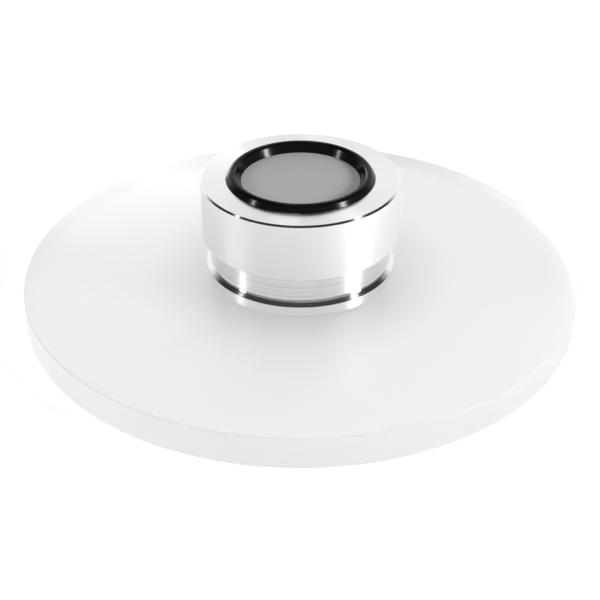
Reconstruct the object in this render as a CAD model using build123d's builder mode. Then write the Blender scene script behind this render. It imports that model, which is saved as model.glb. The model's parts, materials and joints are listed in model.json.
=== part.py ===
"""Push-on record clamp: a frosted acrylic disc carried by a turned aluminium knob.

Sizes are in millimetres. +Z is up, and the origin lies on the spindle axis, on the disc's underside.
"""

import os
from math import cos, radians, sin, tan

from build123d import *

# Acrylic disc
disc_diameter = 100.0
disc_thickness = 6.0
disc_edge_chamfer = 0.25

# Knob, outside
knob_diameter = 35.2
knob_height = 18.4  # above the disc
knob_top_chamfer = 0.3
grip_lower_chamfer = 0.25
groove_depth = 1.5  # the neck lies this far inside the grip band
groove_height = 5.5
cove_radius = 0.7  # of the curve at the neck's foot
flange_height = 2.1  # of its upright edge
flange_bevel = 50.0  # degrees between the neck and the flange's sloping top
flange_inset = 0.55  # the flange's edge lies this far inside the grip band
flange_lower_chamfer = 0.4

# Badge in the knob's top
top_land_width = 4.4  # from the knob's edge to the recess
recess_depth = 1.4
badge_ring_width = 2.6
badge_ring_outer_wall = 1.45  # height of its upright outside
badge_ring_inner_wall = 0.9  # height of its upright inside
badge_ring_slope = 58.0  # degrees that its sides rise from the walls to the crown
badge_ring_crown_radius = 0.8
badge_ring_clearance = 0.05
badge_plate_thickness = 0.9
badge_plate_clearance = 0.05

# Spindle bore and its grip ring
spindle_bore_diameter = 7.4
bore_mouth_chamfer = 0.6
bore_roof_thickness = 3.1  # metal left between the bore and the recess
grip_ring_wall = 1.5
grip_ring_width = 1.5
grip_ring_bite = 0.2  # the ring stands this far into the bore
grip_ring_height = 5.0  # of its lower face above the spigot's end
grip_ring_clearance = 0.05

# Threaded spigot that passes through the disc
spigot_wall = 2.0  # metal left around the grip ring
spigot_clearance = 0.1
spigot_setback = 0.5  # the spigot stops this far short of the disc's underside
spigot_chamfer = 0.3

# Ring nut that holds the disc, let into its underside
nut_thickness = 2.5
nut_wall = 3.5
nut_thread_clearance = 0.05
nut_side_clearance = 0.3
nut_chamfer = 0.3
spanner_slot_width = 1.8
spanner_slot_depth = 1.2

# Radii and levels that follow
knob_radius = knob_diameter / 2
neck_radius = knob_radius - groove_depth
flange_radius = knob_radius - flange_inset
recess_radius = knob_radius - top_land_width

flange_top = disc_thickness + flange_height
bevel_angle = radians(flange_bevel)
cove_width = cove_radius * (1 - cos(bevel_angle))
bevel_width = flange_radius - neck_radius - cove_width
bevel_top = flange_top + bevel_width / tan(bevel_angle)
cove_top = bevel_top + cove_radius * sin(bevel_angle)
cove_start = (neck_radius, cove_top)
bevel_start = (neck_radius + cove_width, bevel_top)
grip_bottom = flange_top + groove_height
knob_top = disc_thickness + knob_height
recess_floor = knob_top - recess_depth

badge_ring_outer = recess_radius - badge_ring_clearance
badge_ring_inner = badge_ring_outer - badge_ring_width
outer_shoulder = (badge_ring_outer, recess_floor + badge_ring_outer_wall)
inner_shoulder = (badge_ring_inner, recess_floor + badge_ring_inner_wall)
slope_angle = radians(badge_ring_slope)
wall_step = badge_ring_outer_wall - badge_ring_inner_wall
crest_radius = (badge_ring_outer + badge_ring_inner + wall_step / tan(slope_angle)) / 2
slopes_meet = outer_shoulder[1] + (badge_ring_outer - crest_radius) * tan(slope_angle)
crown_level = slopes_meet - badge_ring_crown_radius / cos(slope_angle)
crown_half_width = badge_ring_crown_radius * sin(slope_angle)
slope_top = crown_level + badge_ring_crown_radius * cos(slope_angle)
crest = (crest_radius, crown_level + badge_ring_crown_radius)
outer_slope_top = (crest_radius + crown_half_width, slope_top)
inner_slope_top = (crest_radius - crown_half_width, slope_top)
badge_plate_radius = badge_ring_inner - badge_plate_clearance

bore_radius = spindle_bore_diameter / 2
bore_roof = recess_floor - bore_roof_thickness
grip_ring_inner = bore_radius - grip_ring_bite
grip_ring_outer = grip_ring_inner + grip_ring_wall
grip_ring_bottom = spigot_setback + grip_ring_height
ring_groove_radius = grip_ring_outer + grip_ring_clearance
ring_groove_bottom = grip_ring_bottom - grip_ring_clearance
ring_groove_top = grip_ring_bottom + grip_ring_width + grip_ring_clearance

spigot_radius = ring_groove_radius + spigot_wall
nut_bore_radius = spigot_radius + nut_thread_clearance
nut_radius = nut_bore_radius + nut_wall
nut_seat_radius = nut_radius + nut_side_clearance
nut_top = spigot_setback + nut_thickness


# Disc: round sheet with broken edges, a centre hole and a counterbore for the nut in its underside
with BuildPart() as clamp_disc:
    Cylinder(disc_diameter / 2, disc_thickness, align=(Align.CENTER, Align.CENTER, Align.MIN))
    chamfer(clamp_disc.edges().filter_by(GeomType.CIRCLE), disc_edge_chamfer)
    Hole(spigot_radius + spigot_clearance)
    with BuildSketch(Plane.XY):
        Circle(nut_seat_radius)
    extrude(amount=nut_top, mode=Mode.SUBTRACT)


# Knob: turned outside with the badge recess, then the stepped spindle bore
with BuildPart() as knob:
    with BuildSketch(Plane.XZ):
        with BuildLine():
            Polyline(
                cove_start,
                (neck_radius, grip_bottom),
                (knob_radius - grip_lower_chamfer, grip_bottom),
                (knob_radius, grip_bottom + grip_lower_chamfer),
                (knob_radius, knob_top - knob_top_chamfer),
                (knob_radius - knob_top_chamfer, knob_top),
                (recess_radius, knob_top),
                (recess_radius, recess_floor),
                (0, recess_floor),
                (0, spigot_setback),
                (spigot_radius - spigot_chamfer, spigot_setback),
                (spigot_radius, spigot_setback + spigot_chamfer),
                (spigot_radius, disc_thickness),
                (flange_radius - flange_lower_chamfer, disc_thickness),
                (flange_radius, disc_thickness + flange_lower_chamfer),
                (flange_radius, flange_top),
                bevel_start,
            )
            TangentArc(cove_start, bevel_start, tangent=(0, -1))
        make_face()
    revolve(axis=Axis.Z)

    with BuildSketch(Plane.XZ):
        with BuildLine():
            Polyline(
                (0, spigot_setback),
                (bore_radius + bore_mouth_chamfer, spigot_setback),
                (bore_radius, spigot_setback + bore_mouth_chamfer),
                (bore_radius, ring_groove_bottom),
                (ring_groove_radius, ring_groove_bottom),
                (ring_groove_radius, ring_groove_top),
                (bore_radius, ring_groove_top),
                (bore_radius, bore_roof),
                (0, bore_roof),
                close=True,
            )
        make_face()
    revolve(axis=Axis.Z, mode=Mode.SUBTRACT)


# Rubber ring with a flat foot and sloping sides, whose rounded crown stands proud of the knob
with BuildPart() as badge_ring:
    with BuildSketch(Plane.XZ):
        with BuildLine():
            Polyline(
                outer_slope_top,
                outer_shoulder,
                (badge_ring_outer, recess_floor),
                (badge_ring_inner, recess_floor),
                inner_shoulder,
                inner_slope_top,
            )
            ThreePointArc(inner_slope_top, crest, outer_slope_top)
        make_face()
    revolve(axis=Axis.Z)


# Bare plate inside the rubber ring
with BuildPart() as badge_plate:
    with BuildSketch(Plane.XY.offset(recess_floor)):
        Circle(badge_plate_radius)
    extrude(amount=badge_plate_thickness)


# Square rubber ring in the bore's groove, which grips the spindle
with BuildPart() as spindle_grip_ring:
    with BuildSketch(Plane.XY.offset(grip_ring_bottom)):
        Circle(grip_ring_outer)
        Circle(grip_ring_inner, mode=Mode.SUBTRACT)
    extrude(amount=grip_ring_width)


# Ring nut with a spanner slot across its underside, screwed up against the floor of the disc's counterbore
with BuildPart() as ring_nut:
    with BuildSketch(Plane.XY.offset(spigot_setback)):
        Circle(nut_radius)
        Circle(nut_bore_radius, mode=Mode.SUBTRACT)
    extrude(amount=nut_thickness)
    nut_rim = ring_nut.edges().filter_by(GeomType.CIRCLE).group_by(Axis.Z)[0].sort_by(SortBy.RADIUS)[-1]
    chamfer(nut_rim, nut_chamfer)
    with BuildSketch(Plane.XY.offset(spigot_setback)):
        Rectangle(2 * nut_seat_radius, spanner_slot_width)
    extrude(amount=spanner_slot_depth, mode=Mode.SUBTRACT)


os.makedirs("parts", exist_ok=True)

clamp_disc.part.label = "clamp_disc"
export_step(clamp_disc.part, "parts/clamp_disc.step")

knob.part.label = "knob"
export_step(knob.part, "parts/knob.step")

badge_ring.part.label = "badge_ring"
export_step(badge_ring.part, "parts/badge_ring.step")

badge_plate.part.label = "badge_plate"
export_step(badge_plate.part, "parts/badge_plate.step")

spindle_grip_ring.part.label = "spindle_grip_ring"
export_step(spindle_grip_ring.part, "parts/spindle_grip_ring.step")

ring_nut.part.label = "ring_nut"
export_step(ring_nut.part, "parts/ring_nut.step")
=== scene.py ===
"""Looks of the record clamp: finishes, soft studio light, a pale floor and the camera."""

import json
import math

import bpy
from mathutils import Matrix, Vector


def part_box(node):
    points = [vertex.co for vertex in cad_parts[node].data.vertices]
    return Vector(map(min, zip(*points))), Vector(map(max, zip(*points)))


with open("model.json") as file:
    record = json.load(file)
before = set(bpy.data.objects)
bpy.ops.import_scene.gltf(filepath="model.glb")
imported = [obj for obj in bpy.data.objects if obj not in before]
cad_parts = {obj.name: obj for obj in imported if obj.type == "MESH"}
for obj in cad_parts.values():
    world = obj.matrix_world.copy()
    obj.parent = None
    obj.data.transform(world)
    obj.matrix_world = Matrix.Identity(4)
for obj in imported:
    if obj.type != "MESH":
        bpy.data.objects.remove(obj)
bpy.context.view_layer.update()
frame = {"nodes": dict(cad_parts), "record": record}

MM = 0.001
nodes = frame["nodes"]

# Sizes that the finishes follow, read from the frame
disc_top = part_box("clamp_disc")[1].z
disc_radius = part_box("clamp_disc")[1].x
knob_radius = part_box("knob")[1].x
knob_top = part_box("knob")[1].z

# Zones of the knob's finish: the flange up to the neck's foot, the neck, and the top
neck_bottom = disc_top + 3.3 * MM
NECK_FADE = 0.2 * MM
TOP_FADE_START = knob_top - 1.0 * MM
TOP_FADE_END = knob_top - 0.5 * MM

# Depths, measured from a solid's outside, within which faces get a finish of their own
WALL_DEPTH = 0.05 * MM
CHAMFER_DEPTH = 0.2 * MM
UNDERSIDE_DEPTH = 0.1 * MM

# Camera at the photograph's viewing angle
CAMERA_PLACE = (-0.0001, -0.2047, 0.1313)
CAMERA_PITCH = math.radians(57.05)
CAMERA_LENS = 78.5
CAMERA_CLIP = 0.01

# Lamps: azimuth from the camera's side and elevation in degrees, distance, width, height, radiance
SOFTBOXES = {
    "right_lamp": (68, 22, 0.9, 0.18, 0.5, 4.0),
    "right_core": (68, 26, 0.9, 0.1, 0.2, 88.0),
    "left_lamp": (-76, 26, 0.9, 0.036, 0.2, 80.0),
    "right_panel": (165, 50, 0.9, 0.12, 0.2, 5.0),
    "left_panel": (186, 56, 0.9, 0.1, 0.2, 5.0),
    "back_card": (200.6, 18.1, 0.145, 0.05, 0.04, 2.6),
}

# Room light by direction: a backdrop behind the part, walls, a ceiling, and a dark band between them
BACKDROP_LIGHT = 0.97
BACKDROP_SIDES = (0.35, 0.7)
BACKDROP_TOP = (0.42, 0.92)
HORIZON_LIGHT = 0.1
WALL_LIGHT = 0.34
WALL_RISE = (0.05, 0.3)
WALL_TOP = (0.36, 0.46)
WALL_TILT = 0.42
BAND_LIGHT = 0.02
CEILING_LIGHT = 0.45
CEILING_EDGE = (0.97, 0.995)
CEILING_TILT = 0.17

# Floor: its own glow near the part, rising to white far away where the lamps don't reach
FLOOR_DROP = 0.1 * MM
FLOOR_HALF = 4.0
FLOOR_GLOW = 0.83
FLOOR_WHITE = 1.0
FLOOR_RISE = (0.4, 1.6)
FLOOR_TO_EYE = 0.33
FLOOR_TO_LIGHT = 0.9

# Middle part of a noise texture's values, which the finishes spread over their ranges
NOISE_RANGE = (0.3, 0.7)

ACRYLIC_IOR = 1.49
ACRYLIC_CLEAR = 0.92
ACRYLIC_TONE = (0.862, 0.853, 0.859, 1.0)
# Painted shade: near the knob the sheet's tone darkens to this, in place of the knob's shadow
ACRYLIC_PAINTED_SHADE_AT_KNOB = (0.72, 0.71, 0.707, 1.0)
KNOB_SHADE_REACH = 1.65 * knob_radius
ALUMINIUM_TONE = (0.9, 0.9, 0.905, 1.0)


def grey(level):
    return (level, level, level, 1.0)


class Nodes:
    """Short calls for building a node tree."""

    def __init__(self, tree):
        self.tree = tree
        tree.nodes.clear()

    def add(self, kind, settings=None, **inputs):
        node = self.tree.nodes.new(kind)
        for name, value in (settings or {}).items():
            setattr(node, name, value)
        for name, value in inputs.items():
            self.put(node, name.replace("_", " "), value)
        return node

    def put(self, node, name, value):
        if isinstance(value, bpy.types.NodeSocket):
            self.tree.links.new(value, node.inputs[name])
        else:
            node.inputs[name].default_value = value

    def put_all(self, node, *values):
        for index, value in enumerate(values):
            self.put(node, index, value)

    def math(self, operation, *values):
        node = self.add("ShaderNodeMath", {"operation": operation})
        self.put_all(node, *values)
        return node.outputs[0]

    def remap(self, value, span, to_low, to_high, smooth=False):
        kind = "SMOOTHSTEP" if smooth else "LINEAR"
        node = self.add("ShaderNodeMapRange", {"interpolation_type": kind})
        self.put_all(node, value, *span, to_low, to_high)
        return node.outputs[0]

    def place(self):
        return self.add("ShaderNodeTexCoord").outputs["Object"]

    def radius(self, x, y):
        return self.math("SQRT", self.math("ADD", self.math("MULTIPLY", x, x), self.math("MULTIPLY", y, y)))

    def noise(self, vector, scale, detail):
        return self.add("ShaderNodeTexNoise", Vector=vector, Scale=scale, Detail=detail).outputs[0]

    def bump(self, height, strength, distance):
        return self.add("ShaderNodeBump", Strength=strength, Distance=distance, Height=height).outputs[0]

    def blend_tones(self, factor, first, second):
        node = self.add("ShaderNodeMix", {"data_type": "RGBA"}, Factor=factor)
        self.put(node, 6, first)
        self.put(node, 7, second)
        return node.outputs[2]

    def blend_shaders(self, factor, first, second):
        node = self.add("ShaderNodeMixShader")
        self.put_all(node, factor, first.outputs[0], second.outputs[0])
        return node

    def finish(self, shader):
        self.add("ShaderNodeOutputMaterial", Surface=shader.outputs[0])


def new_material(name):
    material = bpy.data.materials.new(name)
    material.use_nodes = True
    return material, Nodes(material.node_tree)


def frosted_acrylic():
    """Sheet that shows the floor's white through its face, with painted shade that darkens it near the
    knob.
    """
    material, n = new_material("frosted_acrylic")
    place = n.place()
    spot = n.add("ShaderNodeSeparateXYZ", Vector=place).outputs
    radius = n.radius(spot["X"], spot["Y"])
    away = n.remap(radius, (knob_radius, KNOB_SHADE_REACH), 0.0, 1.0, smooth=True)
    cloud = n.noise(place, 60.0, 2.0)
    grain = n.noise(place, 2600.0, 3.0)
    shader = n.add(
        "ShaderNodeBsdfPrincipled",
        # The sheet's tone blends into painted shade near the knob
        Base_Color=n.blend_tones(away, ACRYLIC_PAINTED_SHADE_AT_KNOB, ACRYLIC_TONE),
        Roughness=n.remap(cloud, NOISE_RANGE, 0.29, 0.35),
        IOR=ACRYLIC_IOR,
        Transmission_Weight=ACRYLIC_CLEAR,
        Normal=n.bump(grain, 0.15, 0.02 * MM),
    )
    n.finish(shader)
    return material


def milky_acrylic(name, tone, inside_painted_shade_tone, through):
    """Skin of the sheet's edge and underside: scatters light both ways, with a tone of its own from inside,
    which is painted shade where it is darker.
    """
    material, n = new_material(name)
    grain = n.noise(n.place(), 2600.0, 3.0)
    bump = n.bump(grain, 0.15, 0.02 * MM)
    shell = n.add(
        "ShaderNodeBsdfPrincipled",
        Base_Color=tone,
        Roughness=n.remap(grain, NOISE_RANGE, 0.3, 0.4),
        IOR=ACRYLIC_IOR,
        Normal=bump,
    )
    inside = n.add("ShaderNodeNewGeometry").outputs["Backfacing"]
    # Painted shade: seen from inside the solid, the glow takes the darker inner tone
    scatter = n.blend_tones(inside, tone, inside_painted_shade_tone)
    glow = n.add("ShaderNodeBsdfTranslucent", Color=scatter, Normal=bump)
    n.finish(n.blend_shaders(through, shell, glow))
    return material


def aluminium(name, top, neck, flange, stretch, line_strength):
    """Metal with tool lines round the axis. Top, neck and flange are the roughness in each zone."""
    material, n = new_material(name)
    spot = n.add("ShaderNodeSeparateXYZ", Vector=n.place()).outputs
    z = spot["Z"]
    track = n.add("ShaderNodeCombineXYZ", X=n.radius(spot["X"], spot["Y"]), Y=z).outputs[0]
    lines = n.noise(track, 4000.0, 2.0)
    bands = n.noise(track, 900.0, 3.0)
    neck_foot = (neck_bottom - NECK_FADE, neck_bottom + NECK_FADE)
    top_edge = (TOP_FADE_START, TOP_FADE_END)
    lower = n.remap(z, neck_foot, flange, neck)
    upper = n.remap(z, top_edge, 0.0, top - neck)
    above_flange = n.remap(z, neck_foot, 0.05, line_strength)
    below_top = n.remap(z, top_edge, line_strength, 0.02)
    shader = n.add(
        "ShaderNodeBsdfPrincipled",
        Base_Color=ALUMINIUM_TONE,
        Metallic=1.0,
        Roughness=n.math("MULTIPLY_ADD", bands, 0.04, n.math("ADD", lower, upper)),
        Anisotropic=stretch,
        Anisotropic_Rotation=0.25,
        Normal=n.bump(lines, n.math("MINIMUM", above_flange, below_top), 0.14 * MM),
        Tangent=n.add("ShaderNodeTangent", {"direction_type": "RADIAL", "axis": "Z"}).outputs[0],
    )
    n.finish(shader)
    return material


def black_rubber():
    material, n = new_material("black_rubber")
    place = n.place()
    cloud = n.noise(place, 250.0, 2.0)
    grain = n.noise(place, 3000.0, 3.0)
    shader = n.add(
        "ShaderNodeBsdfPrincipled",
        Base_Color=grey(0.006),
        Roughness=n.remap(cloud, NOISE_RANGE, 0.13, 0.17),
        IOR=1.5,
        Specular_IOR_Level=0.1,
        Normal=n.bump(grain, 0.1, 0.01 * MM),
    )
    n.finish(shader)
    return material


def badge_grey():
    """Satin grey with a fine grain."""
    material, n = new_material("badge_grey")
    grain = n.noise(n.place(), 5000.0, 2.0)
    shader = n.add(
        "ShaderNodeBsdfPrincipled",
        Base_Color=n.blend_tones(grain, (0.45, 0.45, 0.47, 1.0), (0.52, 0.52, 0.54, 1.0)),
        Roughness=n.remap(grain, NOISE_RANGE, 0.5, 0.6),
        Normal=n.bump(grain, 0.1, 0.01 * MM),
    )
    n.finish(shader)
    return material


def pale_floor():
    """White to the eye and in reflections, apart from the part's shadow, and plain pale to the light."""
    material, n = new_material("pale_floor")
    ray = n.add("ShaderNodeLightPath").outputs
    seen = n.math("MAXIMUM", ray["Is Camera Ray"], ray["Is Glossy Ray"])
    seen = n.math("MAXIMUM", seen, ray["Is Transmission Ray"])
    distance = n.add("ShaderNodeVectorMath", {"operation": "LENGTH"})
    n.put(distance, 0, n.place())
    strength = n.remap(distance.outputs["Value"], FLOOR_RISE, FLOOR_GLOW, FLOOR_WHITE, smooth=True)
    shaded = n.add("ShaderNodeBsdfDiffuse", Color=grey(FLOOR_TO_EYE))
    white = n.add("ShaderNodeEmission", Color=grey(1.0), Strength=strength)
    both = n.add("ShaderNodeAddShader")
    n.put_all(both, shaded.outputs[0], white.outputs[0])
    paper = n.add("ShaderNodeBsdfDiffuse", Color=grey(FLOOR_TO_LIGHT))
    n.finish(n.blend_shaders(seen, paper, both))
    return material


def dress(node_name, material):
    """Gives a solid its finish."""
    piece = nodes[node_name]
    piece.data.materials.clear()
    piece.data.materials.append(material)


def refinish(node_name, material, wanted):
    """Gives the faces of a solid that are wanted a finish of their own."""
    mesh = nodes[node_name].data
    mesh.materials.append(material)
    for face in mesh.polygons:
        if wanted(math.hypot(face.center.x, face.center.y), face.center.z):
            face.material_index = len(mesh.materials) - 1


finishes = {
    "frosted_acrylic": frosted_acrylic(),
    "turned_aluminium": aluminium("turned_aluminium", 0.12, 0.21, 0.13, 1.0, 0.85),
    "black_rubber": black_rubber(),
    "badge_grey": badge_grey(),
}
for subpart in frame["record"]["subparts"]:
    dress(subpart["node"], finishes[subpart["material_slot"]])

# Satin grip band, and the disc's milky underside, chamfers and edge. The chamfers' depth takes in the edge,
# so the edge comes after them.
satin_aluminium = aluminium("satin_aluminium", 0.46, 0.46, 0.46, 0.2, 0.02)
milky_underside = milky_acrylic("milky_underside", grey(0.92), grey(0.92), 0.8)
# The chamfer's and edge's darker tones seen from inside the disc are painted shade
milky_chamfer = milky_acrylic("milky_chamfer", grey(0.9), grey(0.74), 0.9)
milky_edge = milky_acrylic("milky_edge", (0.99, 0.985, 0.99, 1.0), grey(0.73), 0.93)
refinish("knob", satin_aluminium, lambda radius, z: radius > knob_radius - WALL_DEPTH)
refinish("clamp_disc", milky_underside, lambda radius, z: z < UNDERSIDE_DEPTH)
refinish("clamp_disc", milky_chamfer, lambda radius, z: radius > disc_radius - CHAMFER_DEPTH)
refinish("clamp_disc", milky_edge, lambda radius, z: radius > disc_radius - WALL_DEPTH)

floor_mesh = bpy.data.meshes.new("floor")
corners = [(x * FLOOR_HALF, y * FLOOR_HALF, -FLOOR_DROP) for x, y in ((-1, -1), (1, -1), (1, 1), (-1, 1))]
floor_mesh.from_pydata(corners, [], [(0, 1, 2, 3)])
floor_mesh.materials.append(pale_floor())
floor = bpy.data.objects.new("floor", floor_mesh)
bpy.context.scene.collection.objects.link(floor)


def room_light(n):
    """Gives the brightness of the room in each direction."""
    direction = n.add("ShaderNodeTexCoord").outputs["Generated"]
    aim = n.add("ShaderNodeSeparateXYZ", Vector=direction).outputs
    y, z = aim["Y"], aim["Z"]
    behind = n.remap(y, BACKDROP_SIDES, 0.0, 1.0, smooth=True)
    low = n.remap(z, BACKDROP_TOP, BACKDROP_LIGHT, 0.0, smooth=True)
    rise = n.remap(z, WALL_RISE, HORIZON_LIGHT, WALL_LIGHT, smooth=True)
    fall = n.remap(n.math("MULTIPLY_ADD", y, WALL_TILT, z), WALL_TOP, 1.0, 0.0, smooth=True)
    overhead = n.math("MULTIPLY_ADD", y, CEILING_TILT, z)
    ceiling = n.remap(overhead, CEILING_EDGE, BAND_LIGHT, CEILING_LIGHT, smooth=True)
    room = n.math("MAXIMUM", n.math("MULTIPLY", rise, fall), ceiling)
    return n.math("MAXIMUM", n.math("MULTIPLY", behind, low), room)


# World: white to the eye and through the disc, and the room's light to everything else
world = bpy.data.worlds.new("studio")
bpy.context.scene.world = world
world.use_nodes = True
tree = Nodes(world.node_tree)
path = tree.add("ShaderNodeLightPath").outputs
seen_white = tree.math("MAXIMUM", path["Is Camera Ray"], path["Is Transmission Ray"])
level = tree.math("MAXIMUM", room_light(tree), seen_white)
sky = tree.add("ShaderNodeBackground", Color=grey(1.0), Strength=level)
tree.add("ShaderNodeOutputWorld", Surface=sky.outputs[0])


def softbox(name, azimuth, elevation, distance, width, height, radiance):
    """Adds a soft lamp that faces the part."""
    a, e = math.radians(azimuth), math.radians(elevation)
    away = Vector((math.sin(a) * math.cos(e), -math.cos(a) * math.cos(e), math.sin(e)))
    light = bpy.data.lights.new(name, "AREA")
    light.shape = "RECTANGLE"
    light.size = width
    light.size_y = height
    light.energy = radiance * math.pi * width * height
    lamp = bpy.data.objects.new(name, light)
    lamp.location = away * distance + Vector((0, 0, disc_top))
    lamp.rotation_euler = away.to_track_quat("Z", "Y").to_euler()
    bpy.context.scene.collection.objects.link(lamp)


for lamp_name, settings in SOFTBOXES.items():
    softbox(lamp_name, *settings)

camera_data = bpy.data.cameras.new("camera")
camera_data.lens = CAMERA_LENS
camera_data.clip_start = CAMERA_CLIP
camera = bpy.data.objects.new("camera", camera_data)
camera.location = CAMERA_PLACE
camera.rotation_euler = (CAMERA_PITCH, 0.0, 0.0)
bpy.context.scene.collection.objects.link(camera)
bpy.context.scene.camera = camera
bpy.context.scene.view_settings.view_transform = "Standard"
